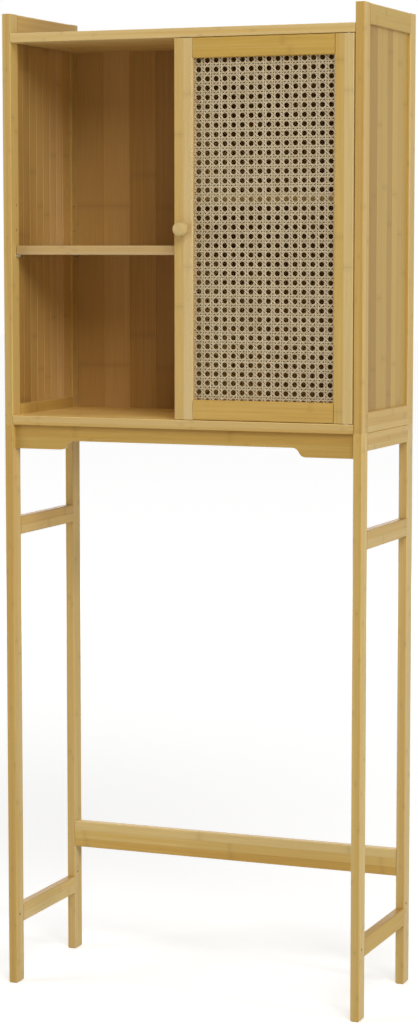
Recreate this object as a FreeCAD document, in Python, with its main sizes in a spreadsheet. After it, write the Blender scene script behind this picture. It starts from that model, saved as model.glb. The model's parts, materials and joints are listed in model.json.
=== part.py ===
import FreeCAD, Part
import os
import re

import Sketcher

# Bamboo cabinet that stands over a washing machine: an open four-legged stand under
# a two-bay cabinet, with one open bay and one bay behind a cane-panelled door.
# Millimetres. The front faces -Y, +X is to the right and the floor is z = 0. The
# origin is the middle of the ground plan, knob included.

# Driving dimensions
sizes = {
    "width": 660,
    "depth": 280,
    "stand_height": 1002,
    "side_height": 710,
    "post_thick": 16,
    "post_width": 30,
    "edge_ease": 1.5,
    "edge_round": 2,
    "foot_chamfer": 2,
    "joint_gap": 0.1,
    "pin_gap": 0.05,
    "tenon_length": 9,
    "tenon_thick": 7,
    "tenon_shoulder": 7,
    "stretcher_height": 32,
    "upper_stretcher_level": 806,
    "lower_stretcher_level": 107,
    "rear_stretcher_level": 196.5,
    "rear_stretcher_height": 48,
    "rear_stretcher_thick": 16,
    "apron_height": 30,
    "front_apron_height": 26.5,
    "apron_thick": 12,
    "apron_setback": 9,
    "apron_tenon_length": 8,
    "apron_tenon_thick": 5,
    "ear_length": 87,
    "ear_slope": 24,
    "ear_drop": 15.5,
    "side_rail_height": 35,
    "side_panel_thick": 6,
    "panel_tongue": 5,
    "side_plank_count": 8,
    "back_plank_count": 12,
    "plank_joint_width": 1.2,
    "plank_joint_depth": 0.6,
    "gallery_height": 33.5,
    "board_thick": 16,
    "back_thick": 6,
    "back_lap": 5,
    "partition_thick": 16,
    "partition_gap": 2,
    "housing_depth": 4,
    "shelf_setback": 18,
    "right_shelf_setback": 20,
    "shelf_gap": 1,
    "shelf_pin_radius": 2.5,
    "shelf_pin_flat": 2,
    "shelf_pin_depth": 9,
    "shelf_pin_reach": 8,
    "shelf_pin_inset": 20,
    "shelf_pin_level": 1340,
    "shelf_pin_pitch": 44,
    "door_thick": 16,
    "door_gap": 1,
    "door_side_gap": 1.5,
    "door_stile_width": 34,
    "door_rail_width": 34,
    "door_tenon_length": 15,
    "door_tenon_thick": 5,
    "cane_recess": 9,
    "cane_lap": 7,
    "cane_thick": 1.2,
    "cane_columns": 8,
    "cane_rows": 18,
    "cane_strand": 16,
    "bead_width": 6.5,
    "knob_level": 1342,
    "knob_radius": 13,
    "knob_reach": 22,
    "knob_neck_radius": 6.5,
    "knob_face_bevel": 3,
    "knob_rim": 4,
    "knob_screw_radius": 2,
    "knob_screw_bite": 11,
    "knob_screw_head_radius": 4,
    "knob_screw_head_height": 3,
    "pivot_edge_inset": 11,
    "pivot_face_inset": 6,
    "pivot_radius": 2.5,
    "pivot_bite": 14,
    "pivot_reach": 9,
    "hinge_back_round": 8,
    "bush_wall": 1.1,
    "bush_end": 1,
    "bush_flange_width": 1.4,
    "catch_offset": 8,
    "catch_length": 40,
    "catch_depth": 14,
    "catch_height": 12,
    "catch_gap": 0.3,
    "magnet_length": 22,
    "magnet_height": 6,
    "magnet_depth": 9,
    "strike_length": 30,
    "strike_height": 11,
    "strike_thick": 1.5,
    "strike_drop": 1,
    "leg_tenon_inset": 6,
    "leg_tenon_thick": 5,
    "leg_tenon_width": 6,
    "leg_tenon_length": 40,
    "board_tenon_inset": 14,
    "board_tenon_width": 9,
    "board_tenon_depth": 6,
    "board_tenon_bite": 8,
}

# Faces and centre lines worked out from the sizes
places = {
    "half": "width / 2",
    "inner": "half - post_thick",
    "post_middle": "half - post_thick / 2",
    "front": "(knob_reach - depth) / 2",
    "rear": "front + depth",
    "front_post": "front + post_width",
    "rear_post": "rear - post_width",
    "height": "stand_height + side_height",
    "floor_face": "stand_height + board_thick",
    "top_face": "height - gallery_height",
    "top_under": "top_face - board_thick",
    "back_face": "rear - back_thick",
    "apron_under": "stand_height - apron_height",
    "front_apron_under": "stand_height - front_apron_height",
    "panel_low": "stand_height + side_rail_height - panel_tongue",
    "panel_high": "height - side_rail_height + panel_tongue",
    "partition_front": "front + door_thick + partition_gap",
    "partition_half": "partition_thick / 2",
    "door_left": "-partition_half",
    "door_right": "inner - door_side_gap",
    "door_low": "floor_face + door_gap",
    "door_high": "top_under - door_gap",
    "door_back": "front + door_thick",
    "pane_left": "door_left + door_stile_width",
    "pane_right": "door_right - door_stile_width",
    "pane_low": "door_low + door_rail_width",
    "pane_high": "door_high - door_rail_width",
    "cane_face": "front + cane_recess",
    "cane_back": "cane_face + cane_thick",
    "knob_line": "door_left + door_stile_width / 2",
    "pivot_line": "door_right - pivot_edge_inset",
    "pivot_depth": "front + pivot_face_inset",
    "bush_radius": "pivot_radius + pin_gap + bush_wall",
    "bush_depth": "pivot_reach + bush_end",
    "strike_face": "door_back + strike_thick",
    "catch_left": "partition_half + catch_offset",
    "catch_middle": "catch_left + catch_length / 2",
    "catch_front": "strike_face + catch_gap",
    "strike_middle": "door_high - strike_drop - strike_height / 2",
    "leg_tenon_half": "leg_tenon_length / 2",
}

doc = FreeCAD.newDocument("machine_cabinet")
sheet = doc.addObject("Spreadsheet::Sheet", "sheet")
for row, (alias, size) in enumerate(sizes.items(), start=1):
    sheet.set(f"A{row}", alias.replace("_", " "))
    sheet.set(f"B{row}", str(size))
    sheet.setAlias(f"B{row}", alias)
doc.recompute()

Vector = FreeCAD.Vector
axes = "xyz"
corners = {}
sub_parts = []


def formula(text):
    """Turn named sizes and places into an expression on the sheet."""

    def expand(match):
        word = match.group(0)
        return f"({formula(places[word])})" if word in places else f"sheet.{word}"

    return re.sub(r"[a-z][a-z_]*", expand, text)


def number(text):
    return float(sheet.evalExpression(formula(text)))


def bind(target, name, text):
    target.setExpression(name, formula(text))


# Bodies, sketches and features


def new_body(label, x, y, z):
    """Start a sub-part whose own origin is its low corner (x, y, z) in the cabinet."""
    body = doc.addObject("PartDesign::Body", label)
    body.Label = label
    corners[label] = (x, y, z)
    for axis, place in zip(axes, (x, y, z)):
        bind(body, f"Placement.Base.{axis}", place)
    sub_parts.append(body)
    return body


def local(body, axis, text):
    """A cabinet coordinate as seen from the sub-part's own corner."""
    return f"({text}) - ({corners[body.Label][axes.index(axis)]})"


# The origin plane square to each axis, the way its normal points, and its two axes
planes = {
    "x": ("YZ_Plane", 1, "yz"),
    "y": ("XZ_Plane", -1, "xz"),
    "z": ("XY_Plane", 1, "xy"),
}


def sketch_across(body, axis, start):
    """Put a sketch square to an axis, at a cabinet coordinate along it."""
    role, sense, _ = planes[axis]
    sketch = body.newObject("Sketcher::SketchObject", "sketch")
    plane = next(f for f in body.Origin.OriginFeatures if f.Role == role)
    sketch.AttachmentSupport = [(plane, "")]
    sketch.MapMode = "FlatFace"
    bind(sketch, "AttachmentOffset.Base.z", f"{sense} * ({local(body, axis, start)})")
    return sketch


def fix(sketch, kind, *points, size):
    """Add a dimension whose value follows the sheet."""
    index = sketch.addConstraint(Sketcher.Constraint(kind, *points, number(size)))
    bind(sketch, f"Constraints[{index}]", size)


def fix_point(sketch, curve, end, across, up):
    fix(sketch, "DistanceX", -1, 1, curve, end, size=across)
    fix(sketch, "DistanceY", -1, 1, curve, end, size=up)


def arc_between(start, end, across):
    """The arc through two points whose centre has a given place across."""
    centre_up = (end.x - across) ** 2 - (start.x - across) ** 2 + end.y**2 - start.y**2
    centre = Vector(across, centre_up / (2 * (end.y - start.y)), 0)
    crown = (start + end) / 2 - centre
    crown = centre + crown * ((start - centre).Length / crown.Length)
    return Part.Arc(start, crown, end)


def outline(sketch, points, arc_centres=()):
    """Draw a closed outline through dimensioned points.

    Lines join the points, apart from arcs: each is given by the point that it starts
    from and the place across of its centre.
    """
    arc_centres = dict(arc_centres)
    spots = [Vector(number(across), number(up), 0) for across, up in points]
    curves = []
    for index, spot in enumerate(spots):
        following = spots[(index + 1) % len(spots)]
        if index in arc_centres:
            curve = arc_between(spot, following, number(arc_centres[index]))
        else:
            curve = Part.LineSegment(spot, following)
        curves.append(sketch.addGeometry(curve))

    # An arc runs anticlockwise, so its first end may be the later one of the outline
    starts = []
    for curve, spot in zip(curves, spots):
        in_order = sketch.getPoint(curve, 1).distanceToPoint(spot) < number("pin_gap")
        starts.append(1 if in_order else 2)
    for index, (across, up) in enumerate(points):
        following = (index + 1) % len(points)
        joint = (curves[index], 3 - starts[index], curves[following], starts[following])
        sketch.addConstraint(Sketcher.Constraint("Coincident", *joint))
        fix_point(sketch, curves[index], starts[index], across, up)
    for index, centre in arc_centres.items():
        fix(sketch, "DistanceX", -1, 1, curves[index], 3, size=centre)


def outline_across(body, axis, spans):
    """The rectangle of a block's section, in the sub-part's own coordinates."""
    first, second = planes[axis][2]
    left, right = (local(body, first, text) for text in spans[first])
    low, high = (local(body, second, text) for text in spans[second])
    return [(left, low), (right, low), (right, high), (left, high)]


def extrude(body, kind, axis, sketch, length):
    """Pad or pocket a sketch towards the plus end of an axis."""
    feature = body.newObject(f"PartDesign::{kind}", kind.lower())
    feature.Profile = sketch
    forward = planes[axis][1] > 0
    feature.Reversed = forward if kind == "Pocket" else not forward
    bind(feature, "Length", length)
    sketch.Visibility = False
    return feature


def block(body, kind, axis, *boxes):
    """Pad or pocket boxes of cabinet coordinates that share one span on the axis."""
    spans = [dict(zip(axes, box)) for box in boxes]
    start, end = spans[0][axis]
    sketch = sketch_across(body, axis, start)
    for span in spans:
        outline(sketch, outline_across(body, axis, span))
    return extrude(body, kind, axis, sketch, f"({end}) - ({start})")


def drill(body, axis, centres, radius, start, end):
    """Cut round holes along an axis, from one cabinet coordinate to another."""
    first, second = planes[axis][2]
    sketch = sketch_across(body, axis, start)
    for across, up in centres:
        across, up = local(body, first, across), local(body, second, up)
        spot = Vector(number(across), number(up), 0)
        circle = sketch.addGeometry(Part.Circle(spot, Vector(0, 0, 1), number(radius)))
        fix_point(sketch, circle, 3, across, up)
        fix(sketch, "Radius", circle, size=radius)
    return extrude(body, "Pocket", axis, sketch, f"({end}) - ({start})")


def dress(body, kind, size, chosen):
    """Fillet or chamfer the edges of a sub-part that a test picks."""
    doc.recompute()
    base = body.Tip
    edges = [f"Edge{i}" for i, edge in enumerate(base.Shape.Edges, start=1) if chosen(edge)]
    feature = body.newObject(f"PartDesign::{kind}", kind.lower())
    feature.Base = (base, edges)
    bind(feature, "Radius" if kind == "Fillet" else "Size", size)
    return feature


def along(axis):
    """Test for a straight edge that runs along an axis."""
    wanted = Vector(*(float(axis == other) for other in axes))

    def chosen(edge):
        if edge.Curve.TypeId != "Part::GeomLine":
            return False
        return abs(edge.Curve.Direction.dot(wanted)) > 0.999

    return chosen


def along_front(edge):
    """Test for a straight edge along X on the sub-part's front face."""
    return along("x")(edge) and abs(edge.CenterOfMass.y) < number("pin_gap")


def at_bottom(edge):
    return edge.BoundBox.ZMax < number("pin_gap")


def bar(label, axis, xs, ys, zs):
    """A straight stick with its long edges eased."""
    body = new_body(label, xs[0], ys[0], zs[0])
    block(body, "Pad", axis, (xs, ys, zs))
    dress(body, "Chamfer", "edge_ease", along(axis))
    return body


def board(label, xs, ys, zs):
    """A flat board with its front edges rounded."""
    body = new_body(label, xs[0], ys[0], zs[0])
    block(body, "Pad", "x", (xs, ys, zs))
    dress(body, "Fillet", "edge_round", along_front)
    return body


# Spans shared by a tenon and its mortise


def centred(middle, width):
    return (f"{middle} - ({width}) / 2", f"{middle} + ({width}) / 2")


def grown(span, gap="joint_gap"):
    return (f"{span[0]} - {gap}", f"{span[1]} + {gap}")


def shrunk(span, cut):
    return (f"{span[0]} + {cut}", f"{span[1]} - {cut}")


def post_span(side):
    return ("-half", "-inner") if side == "left" else ("inner", "half")


def post_centre(side):
    return "-post_middle" if side == "left" else "post_middle"


def into_side(side, length):
    """The span that goes outward from the inner face of a side, as deep as length."""
    if side == "left":
        return (f"-inner - ({length})", "-inner")
    return ("inner", f"inner + ({length})")


def post_depth(end):
    return ("front", "front_post") if end == "front" else ("rear_post", "rear")


def into_post(end, length):
    """The span that goes from a post's face towards the front or the rear."""
    if end == "front":
        return (f"front_post - ({length})", "front_post")
    return ("rear_post", f"rear_post + ({length})")


sides = ("left", "right")
ends = ("front", "rear")
between_posts = ("front_post", "rear_post")
between_sides = ("-inner", "inner")

side_members = {
    "side_apron": ("apron_under", "stand_height"),
    "upper_stretcher": (
        "upper_stretcher_level",
        "upper_stretcher_level + stretcher_height",
    ),
    "lower_stretcher": (
        "lower_stretcher_level",
        "lower_stretcher_level + stretcher_height",
    ),
}
side_rails = {
    "side_bottom_rail": ("stand_height", "stand_height + side_rail_height"),
    "side_top_rail": ("height - side_rail_height", "height"),
}
apron_depths = {
    "front": ("front + apron_setback", "front + apron_setback + apron_thick"),
    "rear": ("rear - apron_setback - apron_thick", "rear - apron_setback"),
}
apron_levels = {
    "front": ("front_apron_under", "stand_height"),
    "rear": ("apron_under", "stand_height"),
}
rear_stretcher_depth = ("rear_post", "rear_post + rear_stretcher_thick")
rear_stretcher_levels = (
    "rear_stretcher_level",
    "rear_stretcher_level + rear_stretcher_height",
)
board_levels = {
    "bottom": ("stand_height", "floor_face"),
    "top": ("top_under", "top_face"),
}
board_tenon_depths = {
    "front": centred("front + board_tenon_inset", "board_tenon_width"),
    "rear": centred("rear - board_tenon_inset", "board_tenon_width"),
}
shelf_pin_levels = (
    "shelf_pin_level - shelf_pin_pitch",
    "shelf_pin_level",
    "shelf_pin_level + shelf_pin_pitch",
)
shelf_pin_depths = {
    "front": "front + shelf_pin_inset",
    "rear": "rear - shelf_pin_inset",
}
partition_pin_depths = {
    "front": "partition_front + shelf_pin_inset",
    "rear": "rear - shelf_pin_inset",
}


def leg_tenon(side, end):
    """The ground plan of the loose tenon between a leg and the stile above it."""
    across = "leg_tenon_inset - half" if side == "left" else "half - leg_tenon_inset"
    deep = "front + leg_tenon_inset" if end == "front" else "rear - leg_tenon_inset"
    return (centred(across, "leg_tenon_thick"), centred(deep, "leg_tenon_width"))


def middle(span):
    return f"(({span[0]}) + ({span[1]})) / 2"


def apron_tenon_depth(end):
    return centred(middle(apron_depths[end]), "apron_tenon_thick")


def board_tenon_levels(name):
    return centred(middle(board_levels[name]), "tenon_thick")


rear_stretcher_tenon_depth = centred(middle(rear_stretcher_depth), "apron_tenon_thick")


# Stand


def leg(side, end):
    xs, ys = post_span(side), post_depth(end)
    body = bar(f"{end}_{side}_leg", "z", xs, ys, ("0", "stand_height"))
    dress(body, "Chamfer", "foot_chamfer", at_bottom)

    tenon_xs = grown(centred(post_centre(side), "tenon_thick"))
    reach = into_post(end, "tenon_length + joint_gap")
    mortises = []
    for levels in side_members.values():
        mortises.append((tenon_xs, reach, grown(shrunk(levels, "tenon_shoulder"))))
    block(body, "Pocket", "y", *mortises)

    reach = into_side(side, "apron_tenon_length + joint_gap")
    cross = [(apron_tenon_depth(end), apron_levels[end])]
    if end == "rear":
        cross.append((rear_stretcher_tenon_depth, rear_stretcher_levels))
    mortises = []
    for tenon_ys, levels in cross:
        mortises.append((reach, grown(tenon_ys), grown(shrunk(levels, "tenon_shoulder"))))
    block(body, "Pocket", "x", *mortises)

    tenon_xs, tenon_ys = leg_tenon(side, end)
    levels = ("stand_height - leg_tenon_half", "stand_height")
    block(body, "Pocket", "z", (grown(tenon_xs), grown(tenon_ys), levels))


def tenoned_bar(label, axis, xs, ys, zs, tenon):
    """A stick with one long core whose two ends stand out as tenons."""
    body = bar(label, axis, xs, ys, zs)
    block(body, "Pad", axis, tenon)
    return body


def side_member(side, name):
    levels = side_members[name]
    tenon = (
        centred(post_centre(side), "tenon_thick"),
        ("front_post - tenon_length", "rear_post + tenon_length"),
        shrunk(levels, "tenon_shoulder"),
    )
    label = f"{side}_{name}"
    tenoned_bar(label, "y", post_span(side), between_posts, levels, tenon)


def cross_tenon(ys, zs):
    reach = ("-inner - apron_tenon_length", "inner + apron_tenon_length")
    return (reach, ys, shrunk(zs, "tenon_shoulder"))


def rear_apron():
    ys, zs = apron_depths["rear"], apron_levels["rear"]
    tenon = cross_tenon(apron_tenon_depth("rear"), zs)
    tenoned_bar("rear_apron", "x", between_sides, ys, zs, tenon)


def rear_stretcher():
    ys, zs = rear_stretcher_depth, rear_stretcher_levels
    tenon = cross_tenon(rear_stretcher_tenon_depth, zs)
    tenoned_bar("rear_stretcher", "x", between_sides, ys, zs, tenon)


def front_apron():
    """A board whose lower edge drops through an ogee to an ear at each leg."""
    ys, zs = apron_depths["front"], apron_levels["front"]
    body = new_body("front_apron", "-inner", ys[0], f"{zs[0]} - ear_drop")
    sketch = sketch_across(body, "y", ys[0])
    length, tall = "2 * inner", "front_apron_height + ear_drop"
    slope_end = "ear_length + ear_slope"

    # Lower edge from left to right, then the two ends and the top
    spots = [
        ("0", "0"),
        ("ear_length", "0"),
        ("ear_length + ear_slope / 2", "ear_drop / 2"),
        (slope_end, "ear_drop"),
        (f"{length} - ({slope_end})", "ear_drop"),
        (f"{length} - ear_length - ear_slope / 2", "ear_drop / 2"),
        (f"{length} - ear_length", "0"),
        (length, "0"),
        (length, tall),
        ("0", tall),
    ]
    arc_centres = {
        1: "ear_length",
        2: slope_end,
        4: f"{length} - ({slope_end})",
        5: f"{length} - ear_length",
    }
    outline(sketch, spots, arc_centres)
    extrude(body, "Pad", "y", sketch, "apron_thick")
    block(body, "Pad", "x", cross_tenon(apron_tenon_depth("front"), zs))


# Cabinet sides


def stile(side, end):
    xs, ys = post_span(side), post_depth(end)
    body = bar(f"{side}_side_{end}_stile", "z", xs, ys, ("stand_height", "height"))

    groove_xs = centred(post_centre(side), "side_panel_thick + 2 * joint_gap")
    groove_zs = ("panel_low", "panel_high + joint_gap")
    groove = (groove_xs, into_post(end, "panel_tongue + joint_gap"), groove_zs)
    block(body, "Pocket", "z", groove)

    tenon_xs = grown(centred(post_centre(side), "tenon_thick"))
    reach = into_post(end, "tenon_length + joint_gap")
    mortises = []
    for levels in side_rails.values():
        mortises.append((tenon_xs, reach, grown(shrunk(levels, "tenon_shoulder"))))
    block(body, "Pocket", "y", *mortises)

    spots = [(shelf_pin_depths[end], level) for level in shelf_pin_levels]
    drill(body, "x", spots, "shelf_pin_radius + pin_gap", *into_side(side, "shelf_pin_depth"))

    reach = into_side(side, "board_tenon_depth")
    mortises = []
    for name in board_levels:
        tenon_ys, tenon_zs = board_tenon_depths[end], board_tenon_levels(name)
        mortises.append((reach, grown(tenon_ys), grown(tenon_zs)))
    block(body, "Pocket", "x", *mortises)

    tenon_xs, tenon_ys = leg_tenon(side, end)
    levels = ("stand_height", "stand_height + leg_tenon_half + joint_gap")
    block(body, "Pocket", "z", (grown(tenon_xs), grown(tenon_ys), levels))

    if end == "rear":
        rabbet_ys = ("back_face - joint_gap", "rear")
        rabbet_zs = ("stand_height", "top_face + joint_gap")
        rabbet = (into_side(side, "back_lap + joint_gap"), rabbet_ys, rabbet_zs)
        block(body, "Pocket", "z", rabbet)


def side_rail(side, name):
    levels = side_rails[name]
    tenon = (
        centred(post_centre(side), "tenon_thick"),
        ("front_post - tenon_length", "rear_post + tenon_length"),
        shrunk(levels, "tenon_shoulder"),
    )
    label = f"{side}_{name}"
    body = tenoned_bar(label, "y", post_span(side), between_posts, levels, tenon)
    groove_xs = centred(post_centre(side), "side_panel_thick + 2 * joint_gap")
    if name == "side_bottom_rail":
        groove_zs = ("panel_low", levels[1])
    else:
        groove_zs = (levels[0], "panel_high + joint_gap")
    block(body, "Pocket", "y", (groove_xs, between_posts, groove_zs))


def plank_joints(body, along_axis, first, pitch, count, faces, ends_z):
    """Score the V-shaped joints between planks, as one cut and its pattern."""
    sketch = sketch_across(body, "z", ends_z[0])
    half = "plank_joint_width / 2"
    for axis, face, sense in faces:
        level = local(body, axis, face)
        deep = f"{level} {sense} plank_joint_depth"
        joint = local(body, along_axis, first)
        corners_of_cut = [(f"{joint} - {half}", level), (f"{joint} + {half}", level), (joint, deep)]
        if along_axis == "y":
            corners_of_cut = [(up, across) for across, up in corners_of_cut]
        outline(sketch, corners_of_cut)
    cut = extrude(body, "Pocket", "z", sketch, f"({ends_z[1]}) - ({ends_z[0]})")
    pattern = body.newObject("PartDesign::LinearPattern", "plank_joints")
    pattern.Originals = [cut]
    pattern.Direction = (sketch, ["H_Axis" if along_axis == "x" else "V_Axis"])
    bind(pattern, "Length", f"({pitch}) * ({count} - 2)")
    bind(pattern, "Occurrences", f"{count} - 1")
    body.Tip = pattern


def side_panel(side):
    xs = centred(post_centre(side), "side_panel_thick")
    ys = ("front_post - panel_tongue", "rear_post + panel_tongue")
    zs = ("panel_low", "panel_high")
    body = new_body(f"{side}_side_panel", xs[0], ys[0], zs[0])
    block(body, "Pad", "z", (xs, ys, zs))
    pitch = "(rear_post - front_post) / side_plank_count"
    faces = [("x", xs[0], "+"), ("x", xs[1], "-")]
    plank_joints(body, "y", f"front_post + {pitch}", pitch, "side_plank_count", faces, zs)


# Cabinet boards


def board_joints(body, name, housing_zs):
    """Mortises in both ends of a board, and the housing that takes the partition."""
    bite = "board_tenon_bite + joint_gap"
    for reach in (("-inner", f"{bite} - inner"), (f"inner - ({bite})", "inner")):
        mortises = []
        for tenon_ys in board_tenon_depths.values():
            mortises.append((reach, grown(tenon_ys), grown(board_tenon_levels(name))))
        block(body, "Pocket", "x", *mortises)
    housing_ys = ("partition_front - joint_gap", "back_face")
    block(body, "Pocket", "z", (grown(partition_xs), housing_ys, housing_zs))


pivot_spot = ("pivot_line", "pivot_depth")
partition_xs = ("-partition_half", "partition_half")


def top_board():
    body = board("top_board", between_sides, ("front", "back_face"), board_levels["top"])
    board_joints(body, "top", ("top_under", "top_under + housing_depth + joint_gap"))
    drill(body, "z", [pivot_spot], "bush_radius + pin_gap", "top_under", "top_under + bush_depth")


def bottom_board():
    body = board("bottom_board", between_sides, ("front", "back_face"), board_levels["bottom"])
    board_joints(body, "bottom", ("floor_face - housing_depth", "floor_face"))
    drill(body, "z", [pivot_spot], "bush_radius + pin_gap", "floor_face - bush_depth", "floor_face")


def partition():
    ys = ("partition_front", "back_face")
    zs = ("floor_face - housing_depth", "top_under + housing_depth")
    body = bar("centre_partition", "z", partition_xs, ys, zs)
    spots = [(deep, level) for deep in partition_pin_depths.values() for level in shelf_pin_levels]
    drill(body, "x", spots, "shelf_pin_radius + pin_gap", *partition_xs)


def back_panel():
    xs = ("-inner - back_lap", "inner + back_lap")
    ys = ("back_face", "rear")
    zs = ("stand_height", "top_face")
    body = new_body("back_panel", xs[0], ys[0], zs[0])
    block(body, "Pad", "z", (xs, ys, zs))
    pitch = "2 * inner / back_plank_count"
    faces = [("y", ys[0], "+"), ("y", ys[1], "-")]
    plank_joints(body, "x", f"{pitch} - inner", pitch, "back_plank_count", faces, zs)


# Shelves and the pins that carry them

bays = {
    "left": ("-inner", "-partition_half"),
    "right": ("partition_half", "inner"),
}
shelf_levels = {"left": shelf_pin_levels[0], "right": shelf_pin_levels[2]}
shelf_setbacks = {"left": "shelf_setback", "right": "right_shelf_setback"}


def shelf(side):
    xs = shrunk(bays[side], "shelf_gap")
    ys = (f"front + {shelf_setbacks[side]}", "back_face - shelf_gap")
    seat = f"{shelf_levels[side]} + shelf_pin_flat"
    board(f"{side}_shelf", xs, ys, (seat, f"{seat} + board_thick"))


def cylinder(name, axis, x, y, z, radius, height):
    """A round solid that starts at (x, y, z) and runs towards the plus end of an axis."""
    solid = doc.addObject("Part::Cylinder", name)
    turns = {
        "x": FreeCAD.Rotation(Vector(0, 1, 0), 90),
        "y": FreeCAD.Rotation(Vector(1, 0, 0), -90),
        "z": FreeCAD.Rotation(),
    }
    solid.Placement.Rotation = turns[axis]
    for letter, place in zip(axes, (x, y, z)):
        bind(solid, f"Placement.Base.{letter}", place)
    bind(solid, "Radius", radius)
    bind(solid, "Height", height)
    return solid


def box(name, xs, ys, zs):
    solid = doc.addObject("Part::Box", name)
    for letter, side, span in zip(axes, ("Length", "Width", "Height"), (xs, ys, zs)):
        bind(solid, f"Placement.Base.{letter}", span[0])
        bind(solid, side, f"({span[1]}) - ({span[0]})")
    return solid


def cut(name, base, tool):
    solid = doc.addObject("Part::Cut", name)
    solid.Base = base
    solid.Tool = tool
    return solid


def fuse(name, base, tool):
    solid = doc.addObject("Part::Fuse", name)
    solid.Base = base
    solid.Tool = tool
    return solid


def finish(solid, label):
    solid.Label = label
    sub_parts.append(solid)


def group(label, solids):
    """Identical pieces kept as separate solids of one sub-part."""
    compound = doc.addObject("Part::Compound", label)
    compound.Links = solids
    finish(compound, label)


def shelf_pin(start, seat_start, deep, level):
    """A round peg whose outer half has a flat for the shelf."""
    length = "shelf_pin_depth + shelf_pin_reach"
    peg = cylinder("peg", "x", start, deep, level, "shelf_pin_radius", length)
    xs = (seat_start, f"{seat_start} + shelf_pin_reach")
    ys = (f"{deep} - shelf_pin_radius", f"{deep} + shelf_pin_radius")
    zs = (f"{level} + shelf_pin_flat", f"{level} + shelf_pin_radius")
    return cut("shelf_pin", peg, box("shelf_pin_flat", xs, ys, zs))


def shelf_pins(side):
    level = shelf_levels[side]
    left, right = bays[side]
    pins = []
    for end in ends:
        left_depth = shelf_pin_depths[end] if side == "left" else partition_pin_depths[end]
        right_depth = partition_pin_depths[end] if side == "left" else shelf_pin_depths[end]
        pins.append(shelf_pin(f"{left} - shelf_pin_depth", left, left_depth, level))
        start = f"{right} - shelf_pin_reach"
        pins.append(shelf_pin(start, start, right_depth, level))
    group(f"{side}_shelf_pins", pins)


# Door frame, cane and beads

rabbet_ys = ("cane_face", "door_back")
door_tenon_ys = centred("front + cane_recess / 2", "door_tenon_thick")
door_rails = {
    "door_bottom_rail": ("door_low", "pane_low"),
    "door_top_rail": ("pane_high", "door_high"),
}


def door_mortises(body, xs):
    mortises = []
    for levels in door_rails.values():
        mortises.append((xs, grown(door_tenon_ys), grown(shrunk(levels, "tenon_shoulder"))))
    block(body, "Pocket", "x", *mortises)


def door_knob_stile():
    xs = ("door_left", "pane_left")
    body = bar("door_knob_stile", "z", xs, ("front", "door_back"), ("door_low", "door_high"))
    rabbet_zs = ("pane_low - cane_lap", "pane_high + cane_lap")
    block(body, "Pocket", "z", (("pane_left - cane_lap", "pane_left"), rabbet_ys, rabbet_zs))
    door_mortises(body, ("pane_left - door_tenon_length - joint_gap", "pane_left"))
    spot = [("knob_line", "knob_level")]
    seat = "door_back - knob_screw_head_height"
    drill(body, "y", spot, "knob_screw_radius + pin_gap", "front", seat)
    drill(body, "y", spot, "knob_screw_head_radius + pin_gap", seat, "door_back")


def door_hinge_stile():
    """The stile that turns on the pivots, with a round back edge to swing past the shelf."""
    xs, ys, zs = ("pane_right", "door_right"), ("front", "door_back"), ("door_low", "door_high")
    body = new_body("door_hinge_stile", xs[0], ys[0], zs[0])
    block(body, "Pad", "z", (xs, ys, zs))

    def swings_inward(edge):
        centre = edge.CenterOfMass
        at_side = abs(centre.x - number("door_stile_width")) < number("pin_gap")
        return along("z")(edge) and at_side and centre.y > number("hinge_back_round")

    def sharp(edge):
        centre = edge.CenterOfMass
        return along("z")(edge) and min(centre.x, centre.y) < number("pin_gap")

    dress(body, "Fillet", "hinge_back_round", swings_inward)
    dress(body, "Chamfer", "edge_ease", sharp)
    rabbet_zs = ("pane_low - cane_lap", "pane_high + cane_lap")
    block(body, "Pocket", "z", (("pane_right", "pane_right + cane_lap"), rabbet_ys, rabbet_zs))
    door_mortises(body, ("pane_right", "pane_right + door_tenon_length + joint_gap"))
    bore = "pivot_radius + pin_gap"
    drill(body, "z", [pivot_spot], bore, "door_low", "door_low + pivot_bite")
    drill(body, "z", [pivot_spot], bore, "door_high - pivot_bite", "door_high")


def door_rail(name):
    levels = door_rails[name]
    reach = ("pane_left - door_tenon_length", "pane_right + door_tenon_length")
    tenon = (reach, door_tenon_ys, shrunk(levels, "tenon_shoulder"))
    ys = ("front", "door_back")
    body = tenoned_bar(name, "x", ("pane_left", "pane_right"), ys, levels, tenon)
    if name == "door_bottom_rail":
        rabbet_zs = ("pane_low - cane_lap", "pane_low")
    else:
        rabbet_zs = ("pane_high", "pane_high + cane_lap")
    block(body, "Pocket", "x", (("pane_left", "pane_right"), rabbet_ys, rabbet_zs))


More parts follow.
